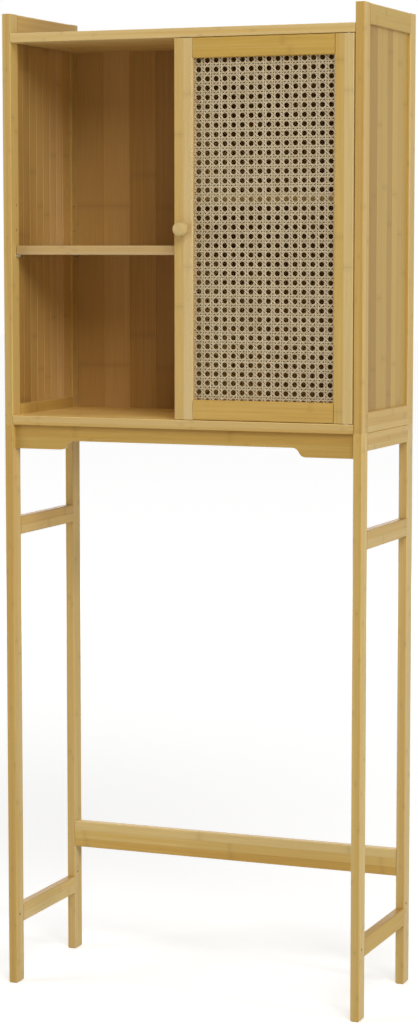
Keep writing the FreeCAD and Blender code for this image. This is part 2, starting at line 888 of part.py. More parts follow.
def cane_webbing():
    """Woven cane as one flat holed face, thickened: eight-sided gaps between strands."""
    left, right = number("pane_left"), number("pane_right")
    low, high = number("pane_low"), number("pane_high")
    columns, rows = int(number("cane_columns")), int(number("cane_rows"))
    pitch_x, pitch_z = (right - left) / columns, (high - low) / rows
    strand = number("cane_strand")
    half_x, half_z = (pitch_x - strand) / 2, (pitch_z - strand) / 2
    corner = (2**0.5 - 1) * min(half_x, half_z)
    lap = number("cane_lap - joint_gap")
    face = number("cane_face")

    def wire(points):
        return Part.makePolygon([Vector(x, face, z) for x, z in points + points[:1]])

    rim = [
        (left - lap, low - lap),
        (right + lap, low - lap),
        (right + lap, high + lap),
        (left - lap, high + lap),
    ]
    gap = [
        (-half_x, -corner),
        (-corner, -half_z),
        (corner, -half_z),
        (half_x, -corner),
        (half_x, corner),
        (corner, half_z),
        (-corner, half_z),
        (-half_x, corner),
    ]
    wires = [wire(rim)]
    for column in range(columns):
        middle_x = left + (column + 0.5) * pitch_x
        for row in range(rows):
            middle_z = low + (row + 0.5) * pitch_z
            wires.append(wire([(middle_x + x, middle_z + z) for x, z in gap]))
    sheet_face = Part.makeFace(wires, "Part::FaceMakerBullseye")
    webbing = doc.addObject("Part::Feature", "cane_webbing")
    webbing.Shape = sheet_face.extrude(Vector(0, number("cane_thick"), 0))
    webbing.Placement = FreeCAD.Placement()
    finish(webbing, "cane_webbing")


def cane_beads():
    """Four strips that hold the cane against the front lip of the frame."""
    ys = ("cane_back", "door_back")
    outer_xs = ("pane_left - cane_lap", "pane_right + cane_lap")
    outer_zs = ("pane_low - cane_lap", "pane_high + cane_lap")
    low_zs = (outer_zs[0], f"{outer_zs[0]} + bead_width")
    high_zs = (f"{outer_zs[1]} - bead_width", outer_zs[1])
    between_zs = (low_zs[1], high_zs[0])
    left_xs = (outer_xs[0], f"{outer_xs[0]} + bead_width")
    right_xs = (f"{outer_xs[1]} - bead_width", outer_xs[1])
    beads = {
        "cane_bottom_bead": ("x", outer_xs, low_zs),
        "cane_top_bead": ("x", outer_xs, high_zs),
        "cane_left_bead": ("z", left_xs, between_zs),
        "cane_right_bead": ("z", right_xs, between_zs),
    }
    for label, (axis, xs, zs) in beads.items():
        bead = new_body(label, xs[0], ys[0], zs[0])
        block(bead, "Pad", axis, (xs, ys, zs))


# Knob


def knob():
    """A turned mushroom knob: flat face with a bevel, rim, sloping back and neck."""
    body = new_body("door_knob", "knob_line", "front - knob_reach", "knob_level")
    sketch = sketch_across(body, "z", "knob_level")
    rim_end = "knob_face_bevel + knob_rim"
    neck_start = f"{rim_end} + knob_radius - knob_neck_radius"
    spots = [
        ("0", "0"),
        ("knob_radius - knob_face_bevel", "0"),
        ("knob_radius", "knob_face_bevel"),
        ("knob_radius", rim_end),
        ("knob_neck_radius", neck_start),
        ("knob_neck_radius", "knob_reach"),
        ("0", "knob_reach"),
    ]
    outline(sketch, spots)
    turned = body.newObject("PartDesign::Revolution", "turned")
    turned.Profile = sketch
    turned.ReferenceAxis = (sketch, ["V_Axis"])
    turned.Angle = 360
    start = "front - knob_screw_bite - joint_gap"
    spot = [("knob_line", "knob_level")]
    drill(body, "y", spot, "knob_screw_radius + pin_gap", start, "front")


def knob_screw():
    """A round-headed screw from behind the door into the knob."""
    seat = "door_back - knob_screw_head_height"
    tip = "front - knob_screw_bite"
    shank_at = ("knob_line", tip, "knob_level")
    shank = cylinder("screw_shank", "y", *shank_at, "knob_screw_radius", f"{seat} - ({tip})")
    head_at = ("knob_line", seat, "knob_level")
    head_size = ("knob_screw_head_radius", "knob_screw_head_height")
    head = cylinder("screw_head", "y", *head_at, *head_size)
    finish(fuse("whole_screw", shank, head), "knob_screw")


# Door pivots


def pivot_pins():
    length = "pivot_bite + door_gap + pivot_reach"
    low_start = "door_low - door_gap - pivot_reach"
    lower = cylinder("lower_pin", "z", *pivot_spot, low_start, "pivot_radius", length)
    finish(lower, "lower_pivot_pin")
    high_start = "door_high - pivot_bite"
    upper = cylinder("upper_pin", "z", *pivot_spot, high_start, "pivot_radius", length)
    finish(upper, "upper_pivot_pin")


def pivot_bush(name, start, bore_start):
    shell = cylinder(f"{name}_shell", "z", *pivot_spot, start, "bush_radius", "bush_depth")
    bore_radius = "pivot_radius + pin_gap"
    bore = cylinder(f"{name}_bore", "z", *pivot_spot, bore_start, bore_radius, "pivot_reach")
    return cut(name, shell, bore)


def pivot_bushes():
    """Nylon bushes in both boards; the lower one has a flange that carries the door."""
    upper = pivot_bush("upper_bush", "top_under", "top_under")
    finish(upper, "upper_pivot_bush")

    start = "floor_face - bush_depth"
    tube = cylinder("lower_bush_shell", "z", *pivot_spot, start, "bush_radius", "bush_depth")
    flange_radius = "bush_radius + bush_flange_width"
    flange = cylinder("lower_bush_flange", "z", *pivot_spot, "floor_face", flange_radius, "door_gap")
    blank = fuse("lower_bush_blank", tube, flange)
    bore_start = "floor_face - pivot_reach"
    bore_radius = "pivot_radius + pin_gap"
    bore_depth = "pivot_reach + door_gap"
    bore = cylinder("lower_bush_bore", "z", *pivot_spot, bore_start, bore_radius, bore_depth)
    finish(cut("lower_bush", blank, bore), "lower_pivot_bush")


# Magnetic catch and its strike plate


def catch():
    xs = ("catch_left", "catch_left + catch_length")
    ys = ("catch_front", "catch_front + catch_depth")
    zs = ("top_under - catch_height", "top_under")
    body = bar("catch_body", "x", xs, ys, zs)
    magnet_xs = centred("catch_middle", "magnet_length")
    magnet_zs = centred("top_under - catch_height / 2", "magnet_height")
    magnet_ys = ("catch_front", "catch_front + magnet_depth")
    block(body, "Pocket", "y", (grown(magnet_xs, "pin_gap"), magnet_ys, grown(magnet_zs, "pin_gap")))

    magnet = new_body("catch_magnet", magnet_xs[0], magnet_ys[0], magnet_zs[0])
    block(magnet, "Pad", "x", (magnet_xs, magnet_ys, magnet_zs))


def strike():
    """Steel plate on the back of the door, which the magnet holds."""
    xs = centred("catch_middle", "strike_length")
    ys = ("door_back", "strike_face")
    zs = centred("strike_middle", "strike_height")
    body = new_body("strike_plate", xs[0], ys[0], zs[0])
    block(body, "Pad", "y", (xs, ys, zs))


# Loose tenons of the carcass


def leg_loose_tenons():
    zs = ("stand_height - leg_tenon_half", "stand_height + leg_tenon_half")
    tenons = []
    for side in sides:
        for end in ends:
            xs, ys = leg_tenon(side, end)
            tenons.append(box("leg_tenon", xs, ys, zs))
    group("leg_loose_tenons", tenons)


def board_loose_tenons():
    reach = {
        "left": ("-inner - board_tenon_depth", "board_tenon_bite - inner"),
        "right": ("inner - board_tenon_bite", "inner + board_tenon_depth"),
    }
    tenons = []
    for side in sides:
        for name in board_levels:
            for ys in board_tenon_depths.values():
                tenons.append(box("board_tenon", reach[side], ys, board_tenon_levels(name)))
    group("board_loose_tenons", tenons)


# The whole cabinet


def build_all():
    for side in sides:
        for end in ends:
            leg(side, end)
            stile(side, end)
        for name in side_members:
            side_member(side, name)
        for name in side_rails:
            side_rail(side, name)
        side_panel(side)
        shelf(side)
        shelf_pins(side)
    front_apron()
    rear_apron()
    rear_stretcher()
    top_board()
    bottom_board()
    partition()
    back_panel()
    door_knob_stile()
    door_hinge_stile()
    for name in door_rails:
        door_rail(name)
    cane_webbing()
    cane_beads()
    knob()
    knob_screw()
    pivot_pins()
    pivot_bushes()
    catch()
    strike()
    leg_loose_tenons()
    board_loose_tenons()
    doc.recompute()


def check_all():
    """Stop if any feature failed, any cut removed nothing or any solid is unsound."""
    for item in doc.Objects:
        if "Invalid" in item.State or "Error" in item.State:
            raise RuntimeError(f"{item.Label} failed: {item.State}")
        if item.TypeId == "PartDesign::Pocket":
            if item.Shape.Volume >= item.BaseFeature.Shape.Volume:
                raise RuntimeError(f"{item.Label} cuts nothing")
    for part in sub_parts:
        if part.Shape.isNull() or not part.Shape.isValid() or not part.Shape.Solids:
            raise RuntimeError(f"{part.Label} has no sound solid")


def write_all():
    os.makedirs("parts", exist_ok=True)
    for part in sub_parts:
        part.Shape.exportStep(os.path.join("parts", part.Label + ".step"))


build_all()
check_all()
write_all()
print(len(sub_parts), "sub-parts written")
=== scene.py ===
import json
import math

import bmesh
import bpy
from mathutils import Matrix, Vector


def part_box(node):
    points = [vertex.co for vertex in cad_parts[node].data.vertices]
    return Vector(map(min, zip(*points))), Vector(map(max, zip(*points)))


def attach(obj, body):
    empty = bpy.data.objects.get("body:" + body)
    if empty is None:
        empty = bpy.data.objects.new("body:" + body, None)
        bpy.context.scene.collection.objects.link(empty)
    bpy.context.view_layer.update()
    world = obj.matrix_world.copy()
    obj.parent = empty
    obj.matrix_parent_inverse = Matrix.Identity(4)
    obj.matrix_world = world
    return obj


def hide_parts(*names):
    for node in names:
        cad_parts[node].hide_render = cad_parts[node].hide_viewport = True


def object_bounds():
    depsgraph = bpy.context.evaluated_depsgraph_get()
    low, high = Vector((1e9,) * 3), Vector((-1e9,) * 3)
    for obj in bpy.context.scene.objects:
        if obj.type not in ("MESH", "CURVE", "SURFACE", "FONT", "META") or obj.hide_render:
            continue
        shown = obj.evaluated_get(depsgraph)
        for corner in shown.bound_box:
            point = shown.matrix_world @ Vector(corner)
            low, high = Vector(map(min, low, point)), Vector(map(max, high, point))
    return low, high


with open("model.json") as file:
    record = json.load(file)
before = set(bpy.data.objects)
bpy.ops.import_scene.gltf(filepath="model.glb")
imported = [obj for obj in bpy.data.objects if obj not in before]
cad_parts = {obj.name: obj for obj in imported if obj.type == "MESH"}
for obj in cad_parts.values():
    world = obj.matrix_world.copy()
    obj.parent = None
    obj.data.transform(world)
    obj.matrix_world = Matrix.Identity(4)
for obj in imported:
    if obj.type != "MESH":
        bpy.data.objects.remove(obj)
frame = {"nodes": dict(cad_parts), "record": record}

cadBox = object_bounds()
nodes = frame["nodes"]
scene = bpy.context.scene
scene.view_settings.view_transform = "Standard"
print("frame loaded:", len(nodes), "pieces")


# Node trees written as expressions, for materials and for geometry

def operatorPair(operation):
    def forward(self, other):
        return self.mathNode(operation, self, other)

    def reflected(self, other):
        return self.mathNode(operation, other, self)

    return forward, reflected


def setStops(ramp, tones):  # equal steps from 0 to 1, each with its own grey tone
    ramp.interpolation = "CONSTANT"
    for index, tone in enumerate(tones):
        stop = ramp.elements.new(index / len(tones)) if index else ramp.elements[0]
        stop.color = (tone, tone, tone, 1)
    ramp.elements.remove(ramp.elements[-1])


class Wire:  # one socket; sums and products of wires add Math nodes to its tree
    __add__, __radd__ = operatorPair("ADD")
    __sub__, __rsub__ = operatorPair("SUBTRACT")
    __mul__, __rmul__ = operatorPair("MULTIPLY")
    __truediv__, __rtruediv__ = operatorPair("DIVIDE")

    def __init__(self, tree, socket=None):
        self.tree = tree
        self.socket = socket

    def node(self, kind, settings=None, sockets=None, outlet=0):
        made = self.tree.nodes.new(kind)
        for name, value in (settings or {}).items():
            if name == "stops":
                setStops(made.color_ramp, value)
            else:
                setattr(made, name, value)
        for key, value in (sockets or {}).items():
            for one in value if isinstance(value, list) else [value]:
                if isinstance(one, Wire):
                    self.tree.links.new(one.socket, made.inputs[key])
                else:
                    made.inputs[key].default_value = one
        return Wire(self.tree, made.outputs[outlet])

    def mathNode(self, operation, *values):
        return self.node("ShaderNodeMath", {"operation": operation}, dict(enumerate(values)))

    def maths(self, operation, *others):  # this wire is the first value
        return self.mathNode(operation, self, *others)

    def centred(self):  # from 0..1 to a swing about 0
        return self - 0.5

    def split(self):
        parts = self.node("ShaderNodeSeparateXYZ", sockets={0: self})
        return [Wire(self.tree, outlet) for outlet in parts.socket.node.outputs]

    def joined(self, x, y, z):
        return self.node("ShaderNodeCombineXYZ", sockets={0: x, 1: y, 2: z})

    def rise(self, low, high):  # 0 below low, 1 above high
        return self.node("ShaderNodeMapRange", {"interpolation_type": "SMOOTHSTEP"},
                         {"Value": self, "From Min": low, "From Max": high})

    def blend(self, first, second):  # this wire is the factor
        return self.node("ShaderNodeMix", {"data_type": "RGBA"}, {0: self, 6: first, 7: second}, outlet=2)

    def shaded(self, amount):  # a colour made lighter or darker
        return self.node("ShaderNodeVectorMath", {"operation": "SCALE"}, {0: self, "Scale": amount})

    def noise(self, scale=1.0, detail=2.0, roughness=0.5):
        return self.node("ShaderNodeTexNoise", sockets={
            "Vector": self, "Scale": scale, "Detail": detail, "Roughness": roughness})


def startMaterial(name, constants):
    material = bpy.data.materials.new(name)
    material.use_nodes = True
    shader = material.node_tree.nodes["Principled BSDF"]
    for socket, value in constants.items():
        shader.inputs[socket].default_value = value
    return material, Wire(material.node_tree), shader


def finishMaterial(shader, colour, roughness, height, depth, strength):
    tree = colour.tree
    bump = colour.node("ShaderNodeBump", sockets={"Height": height, "Distance": depth, "Strength": strength})
    tree.links.new(colour.socket, shader.inputs["Base Color"])
    tree.links.new(roughness.socket, shader.inputs["Roughness"])
    tree.links.new(bump.socket, shader.inputs["Normal"])


def dress(name, material):
    for slot in nodes[name].material_slots:
        slot.material = material


# Camera at the photograph's angle

photoCamera = {
    "place": (1.7216, -4.2826, 1.3207),
    "aim": (0.0062, -0.009, 0.8522),
    "lens": 92.77,
    "shift": (0.0008, -0.0018),
    "reach": 100,           # farther than the floor's edge
}


def turnTowards(thing, aim):  # for cameras and lamps, which look along their own -z
    sight = Vector(aim) - thing.location
    thing.rotation_euler = sight.to_track_quat("-Z", "Y").to_euler()


def setCamera():
    data = bpy.data.cameras.new("photoCamera")
    data.lens = photoCamera["lens"]
    data.shift_x, data.shift_y = photoCamera["shift"]
    data.clip_end = photoCamera["reach"]
    camera = bpy.data.objects.new("photoCamera", data)
    scene.collection.objects.link(camera)
    camera.location = photoCamera["place"]
    turnTowards(camera, photoCamera["aim"])
    scene.camera = camera


setCamera()
print("camera set")


# Plain studio: pale floor, white surround, a large soft key high at the right and softer lamps round it

studio = {
    "surround": 0.15,       # light that comes from all round
    "floorHalf": 30.0,
    "floorColour": (0.8, 0.8, 0.79, 1),
    "nearGlow": 0.46,       # what the camera sees on top of the floor's own light, near the object
    "farGlow": 0.84,        # and beyond the reach of the lamps
    "glowStart": 3.4,       # distances between which the one turns into the other
    "glowEnd": 5.8,
    "lamps": {
        "keyLamp": {"place": (2.6, -3.4, 4.4), "size": 3.0, "watts": 168},
        "leftLamp": {"place": (-4.4, -2.4, 2.0), "size": 2.6, "watts": 110},
        "sideLamp": {"place": (5.0, -0.93, 1.5), "size": 0.65, "watts": 62},
        "rearLamp": {"place": (-1.6, 4.6, 3.4), "size": 3.6, "watts": 90},
    },
    "lampAim": (0.0, 0.0, 0.95),
}


def seenDirectly(wire):  # 1 for what the camera sees, also in gloss and through glass
    rays = wire.node("ShaderNodeLightPath").socket.node.outputs
    kinds = ("Camera", "Glossy", "Transmission")
    camera, gloss, glass = (Wire(wire.tree, rays[f"Is {kind} Ray"]) for kind in kinds)
    return camera.maths("MAXIMUM", gloss.maths("MAXIMUM", glass))


def setSurround():
    world = bpy.data.worlds.new("studioSurround")
    scene.world = world
    world.use_nodes = True
    wire = Wire(world.node_tree)
    glow = world.node_tree.nodes["Background"].inputs
    glow["Color"].default_value = (1, 1, 1, 1)
    seen = seenDirectly(wire)
    strength = seen + (1 - seen) * studio["surround"]
    world.node_tree.links.new(strength.socket, glow["Strength"])


def setFloor():
    mesh = bpy.data.meshes.new("studioFloor")
    half = studio["floorHalf"]
    corners = [(-half, -half, 0), (half, -half, 0), (half, half, 0), (-half, half, 0)]
    mesh.from_pydata(corners, [], [(0, 1, 2, 3)])
    floor = bpy.data.objects.new("studioFloor", mesh)
    scene.collection.objects.link(floor)
    material = bpy.data.materials.new("studioFloor")
    material.use_nodes = True
    tree = material.node_tree
    tree.nodes.remove(tree.nodes["Principled BSDF"])
    wire = Wire(tree)
    plain = wire.node("ShaderNodeBsdfDiffuse", sockets={"Color": studio["floorColour"]})
    spot = wire.node("ShaderNodeTexCoord", outlet="Object")
    away = wire.node("ShaderNodeVectorMath", {"operation": "LENGTH"}, {0: spot}, outlet="Value")
    near, far = ((studio[name],) * 3 + (1,) for name in ("nearGlow", "farGlow"))
    glow = wire.node("ShaderNodeEmission", sockets={
        "Color": away.rise(studio["glowStart"], studio["glowEnd"]).blend(near, far)})
    lit = wire.node("ShaderNodeAddShader", sockets={0: plain, 1: glow})
    surface = wire.node("ShaderNodeMixShader", sockets={0: seenDirectly(wire), 1: plain, 2: lit})
    tree.links.new(surface.socket, tree.nodes["Material Output"].inputs["Surface"])
    mesh.materials.append(material)


def setLamps():
    for name, lamp in studio["lamps"].items():
        data = bpy.data.lights.new(name, "AREA")
        data.size = lamp["size"]
        data.energy = lamp["watts"]
        light = bpy.data.objects.new(name, data)
        scene.collection.objects.link(light)
        light.location = lamp["place"]
        turnTowards(light, studio["lampAim"])


setSurround()
setFloor()
setLamps()
print("studio lit")


# Laminated bamboo: strips with their own tone, fibres, culm joints, glue lines, end grain and eased edges,
# with painted light and shade on some pieces and faces

lacquer = {"Coat Weight": 0.05, "Coat Roughness": 0.3, "Specular IOR Level": 0.22}
bamboo = {
    "honey": (0.515, 0.298, 0.063, 1),   # tone 0
    "straw": (0.59, 0.388, 0.110, 1),    # the tone between
    "pale": (0.64, 0.465, 0.187, 1),     # tone 1
    "strawTone": 0.5,
    "plainTone": 0.5,           # of the pieces that toneOf and stripsOf leave out
    "stripWidth": 0.019,
    "layerThickness": 0.0055,
    "panelTongue": 0.005,       # edge of a planked panel that is hidden in its frame, outside the planks
    "stripSpread": 0.38,        # how far strips, streaks and slow drift change the tone
    "streakSpread": 0.65,
    "driftSpread": 0.5,
    "stripSeed": 1.37,          # steps from the strips and the drift of one piece to those of the next
    "driftSeed": 3.1,
    "culmShift": 40,            # how far strips are shifted along the culm, in lengths of fibre or streak
    "fibreWidth": 0.0009,
    "fibreLength": 0.07,
    "fibreShade": 0.34,
    "streakWidth": 0.005,
    "streakLength": 0.30,
    "driftAcross": 4,           # slow changes in a metre
    "driftAlong": 1.6,
    "plankMiddle": 0.4,         # planks are lighter above this tone and darker below it
    "plankShade": 0.6,
    "wideFace": (0.6, 0.9),     # how squarely a face looks out of the thickness, from not at all to fully
    "endFace": (0.75, 0.95),    # and out of the end of the grain
    "lineCore": 0.3,            # share of a thin line's width that has its full strength
    "jointLine": (0.30, 0.16, 0.05, 1),
    "jointSpacing": 0.29,
    "jointShift": 7,
    "jointWidth": 0.0011,
    "jointWobble": 0.0012,
    "jointStrength": 0.20,
    "haloWidth": 0.011,
    "haloShade": 0.07,
    "glueLine": (0.36, 0.20, 0.065, 1),
    "glueWidth": 0.00035,
    "glueStrength": 0.22,
    "endGrain": (0.40, 0.25, 0.09, 1),
    "endStrength": 0.85,
    "bundleScale": 900.0,
    "bundleEdge": (0.15, 0.55),
    "bundleContrast": 0.35,
    "edgeWidth": 0.0022,
    "rubPatches": (0.35, 0.6),  # streaks between which an edge goes from unworn to rubbed and lit with a painted highlight
    "rubAndHighlightLift": 0.10,
    "roughness": 0.46,          # and what is added to it, or taken off where an edge is rubbed
    "fibreRoughness": 0.22,
    "endRoughness": 0.2,
    "jointRoughness": 0.08,
    "rubRoughness": 0.08,
    "fibreHeight": 0.5,         # shares of the bump, lines as depths
    "haloHeight": 0.5,
    "bundleHeight": 0.4,
    "jointDepth": 0.4,
    "glueDepth": 0.6,
    "bumpDepth": 0.0004,
    "bumpStrength": 0.35,
}
stripsOf = {  # tone of each strip or plank from the low side on; some lists also paint light and shade
    # painted light: the left side panel's planks go from darkest at the front to palest at the back, against
    # the shade deep in the bay
    "left_side_panel": (0.00, 0.08, 0.28, 0.38, 0.45, 0.50, 0.65, 0.55),
    # partly painted shade: the right side panel's front plank is darkest partly for the front stile's shadow
    # on it
    "right_side_panel": (0.05, 0.15, 0.35, 0.35, 0.20, 0.50, 0.35, 0.35),
    "back_panel": (0.45, 0.60, 0.35, 0.15, 0.50, 0.30, 0.55, 0.20, 0.45, 0.10, 0.35, 0.50),
    "door_knob_stile": (0.5, 0.95),
    "door_hinge_stile": (0.45, 0.85),
    # painted shade: the front apron's upper strip is darker for the shade under the bottom board's overhang
    "front_apron": (0.3, 0.05),
    "rear_stretcher": (0.05, 0.55, 0.8),
    "left_upper_stretcher": (0.5, 0.1),
    "right_upper_stretcher": (0.9, 0.45),
    "right_side_bottom_rail": (0.7, 0.22, 0.38),
    "right_side_apron": (0.8, 0.05, 0.7),
}
toneOf = {  # tone of the pieces that stand out
    "door_top_rail": 0.0, "door_bottom_rail": 0.25, "right_side_top_rail": 0.15,
    "top_board": 0.85, "bottom_board": 0.7, "left_shelf": 0.85, "left_side_front_stile": 0.7,
    "right_side_front_stile": 0.5, "left_side_rear_stile": 0.75, "right_side_rear_stile": 0.75,
    "front_left_leg": 0.6, "front_right_leg": 0.8, "rear_left_leg": 0.85, "rear_right_leg": 0.95,
    "left_lower_stretcher": 0.75, "right_lower_stretcher": 0.4,
}
tintAndPaintedLightOf = {  # colour multipliers by piece, some of them painted shade and painted light
    # painted shade: the right side panel is darker for the shade in its recess
    "left_side_panel": (1.03, 1.0, 1.2), "right_side_panel": (0.86, 0.85, 0.71),
    # painted shade: the back panel is darker and redder for the shade deep in the bay, the front apron
    # darker for the shade under the bottom board's overhang
    "back_panel": (0.86, 0.78, 0.86), "front_apron": (0.88, 0.89, 0.88),
    # painted light: the bottom board is lighter, for light on the floor of the bay
    "top_board": (1.1, 1.1, 1.13), "bottom_board": (1.36, 1.33, 1.28),
    "left_shelf": (0.91, 0.89, 1.04), "turned_knob": (0.93, 0.93, 0.94),
    "right_side_top_rail": (0.90, 0.91, 0.71), "door_top_rail": (0.95, 0.97, 0.86),
    "door_knob_stile": (0.97, 0.98, 1.12), "door_hinge_stile": (0.95, 0.95, 0.99),
    # the right lower stretcher is yellower to offset the pale sheen it catches at a grazing view
    "left_lower_stretcher": (1.08, 1.12, 1.20), "right_lower_stretcher": (0.99, 0.98, 0.66),
    "left_side_front_stile": (1.01, 1.05, 1.17), "front_right_leg": (1.05, 1.05, 1.0),
}
narrowToneAndPaintedLight = {  # by the end of the name: how much less pale and how much darker the narrow faces are than the wide ones; on the stretchers and the bottom board this is painted light and shade
    "leg": (0.2, 0.0), "side_front_stile": (0.25, 0.0), "side_rear_stile": (0.25, 0.0),
    # painted shade: the level stretchers' top faces are less pale and darker; the bottom board's edges are
    # darker, back from the lighter tint that paints light on its top
    "bottom_board": (0.0, 0.25), "upper_stretcher": (0.4, 0.28), "lower_stretcher": (0.4, 0.14),
    # painted highlight: the rear stretcher's top face is paler, for the reflection it catches at a grazing
    # view
    "rear_stretcher": (-0.4, -0.15),
}
levelPieces = ("cane_top_bead", "cane_bottom_bead", "board_loose_tenons")


def grainAxis(name):  # 0 from side to side, 1 from front to back, 2 upright
    bar = name.endswith(("apron", "stretcher", "rail"))
    if bar and name.startswith(("left", "right")):
        return 1
    level = name.endswith(("board", "shelf")) or name in levelPieces
    return 0 if bar or level else 2


def narrowToneAndLightSteps(name):
    return next((steps for ending, steps in narrowToneAndPaintedLight.items() if name.endswith(ending)), (0.0, 0.0))


def fromMiddle(place):  # 0 half way between whole numbers, 0.5 at them
    return place.maths("FRACT").centred().maths("ABSOLUTE")


def thinLine(gap, width):  # 1 on a line, 0 beside it
    return 1 - gap.rise(width * bamboo["lineCore"], width)


def edgeDistance(spot, low, high):  # on a face, how far the nearest edge is
    gaps = [(along - low[axis]).maths("MINIMUM", high[axis] - along) for axis, along in enumerate(spot)]
    lesser, greater = (gaps[0].maths(pick, gaps[1]) for pick in ("MINIMUM", "MAXIMUM"))
    return lesser.maths("MAXIMUM", greater.maths("MINIMUM", gaps[2]))


def bambooFinish(name, low, high, grain, seed, tone):
    look = bamboo
    sizes = high - low
    across, thick = sorted((axis for axis in range(3) if axis != grain), key=lambda axis: -sizes[axis])
    tones = stripsOf.get(name)
    planked = name.endswith("panel")
    tongue = look["panelTongue"] if planked else 0.0
    start, end = low[across] + tongue, high[across] - tongue
    strips = len(tones) if tones else max(1, round(sizes[across] / look["stripWidth"]))
    strip = (end - start) / strips
    layer = sizes[thick] / max(1, round(sizes[thick] / look["layerThickness"]))

    material, wire, shader = startMaterial(name + ".bamboo", lacquer)
    spot = wire.node("ShaderNodeTexCoord", outlet="Object").split()
    run, side, depth = spot[grain], spot[across], spot[thick]
    normal = wire.node("ShaderNodeTexCoord", outlet="Normal").split()
    narrow = 1 - normal[thick].maths("ABSOLUTE").rise(*look["wideFace"])
    endGrain = normal[grain].maths("ABSOLUTE").rise(*look["endFace"])

    # Each strip of the lamination has its own tone and its own place along the culm
    stripPlace = (side - start) / strip
    stripCell = stripPlace.maths("FLOOR")
    layerCell = ((depth - low[thick]) / layer).maths("FLOOR")
    chance = wire.node("ShaderNodeTexWhiteNoise", {"noise_dimensions": "3D"}, {
        "Vector": wire.joined(stripCell, layerCell, seed * look["stripSeed"])}, outlet="Color").split()
    fibres = wire.joined(
        side / look["fibreWidth"], depth / look["fibreWidth"],
        run / look["fibreLength"] + chance[1] * look["culmShift"] + seed).noise(detail=3.0, roughness=0.6)
    streaks = wire.joined(
        side / look["streakWidth"], depth / look["streakWidth"],
        run / look["streakLength"] + chance[2] * look["culmShift"] + seed).noise()
    drift = wire.joined(
        side * look["driftAcross"], depth * look["driftAcross"],
        run * look["driftAlong"] + seed * look["driftSeed"]).noise(detail=1.0)
    if tones:
        tone = wire.node("ShaderNodeValToRGB", {"stops": tones}, {0: (stripCell + 0.5) / strips})
    # narrow faces get a tone step and a painted shade, which below 0 is a painted highlight
    lessPale, paintedShade = narrowToneAndLightSteps(name)
    place = (tone - narrow * lessPale + chance[0].centred() * look["stripSpread"]
             + streaks.centred() * look["streakSpread"] + drift.centred() * look["driftSpread"])
    deep = place.rise(0.0, look["strawTone"]).blend(look["honey"], look["straw"])
    colour = place.rise(look["strawTone"], 1.0).blend(deep, look["pale"])
    colour = colour.shaded(1.0 + fibres.centred() * look["fibreShade"]).shaded(1.0 - narrow * paintedShade)
    # plank tone also scales brightness; this carries the painted light of the left side panel
    if planked:
        colour = colour.shaded(1.0 + (tone - look["plankMiddle"]) * look["plankShade"])
    # colour multipliers, some of which paint shade and light
    if name in tintAndPaintedLightOf:
        colour = wire.node("ShaderNodeVectorMath", {"operation": "MULTIPLY"}, {0: colour, 1: tintAndPaintedLightOf[name]})

    # Culm joints: a thin dark line in a faint shade, on a slight swelling
    jointPlace = run / look["jointSpacing"] + chance[1] * look["jointShift"]
    jointGap = fromMiddle(jointPlace) * look["jointSpacing"] + fibres.centred() * look["jointWobble"]
    jointLine = thinLine(jointGap, look["jointWidth"])
    jointHalo = 1 - jointGap.rise(look["jointWidth"], look["haloWidth"])
    colour = colour.shaded(1.0 - jointHalo * look["haloShade"])
    colour = (jointLine * look["jointStrength"]).blend(colour, look["jointLine"])

    # Glue lines between strips
    glue = thinLine((0.5 - fromMiddle(stripPlace)) * strip, look["glueWidth"])
    colour = (glue * look["glueStrength"]).blend(colour, look["glueLine"])

    # End grain shows the cut fibre bundles
    bundles = wire.node("ShaderNodeTexVoronoi", {"feature": "F1"}, {
        "Vector": wire.joined(side, depth, 0.0), "Scale": look["bundleScale"]}).rise(*look["bundleEdge"])
    cut = endGrain * (look["endStrength"] - bundles * look["bundleContrast"])
    colour = cut.blend(colour, look["endGrain"])

    # Eased edges are rubbed a little paler and smoother; the paleness is worn wood and also a painted
    # highlight along the rounded edges
    edge = 1 - edgeDistance(spot, low, high).rise(0.0, look["edgeWidth"])
    edgeRubAndHighlight = edge * streaks.rise(*look["rubPatches"])
    colour = colour.shaded(1.0 + edgeRubAndHighlight * look["rubAndHighlightLift"])

    roughness = (look["roughness"] + fibres.centred() * look["fibreRoughness"]
                 + endGrain * look["endRoughness"] + jointLine * look["jointRoughness"]
                 - edgeRubAndHighlight * look["rubRoughness"])
    height = (fibres * look["fibreHeight"] + jointHalo * look["haloHeight"] - jointLine * look["jointDepth"]
              - glue * look["glueDepth"] + endGrain * bundles * look["bundleHeight"])
    finishMaterial(shader, colour, roughness, height, look["bumpDepth"], look["bumpStrength"])
    return material


slotOf = {row["node"]: row["material_slot"] for row in frame["record"]["subparts"]}
for seed, name in enumerate(sorted(nodes)):
    if slotOf[name] in ("bamboo", "tenon"):
        low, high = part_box(name)
        tone = toneOf.get(name, bamboo["plainTone"])
        dress(name, bambooFinish(name, low, high, grainAxis(name), seed, tone))
print("bamboo dressed")


# Steel, nylon and magnet of the fittings, and the dark steel of brads

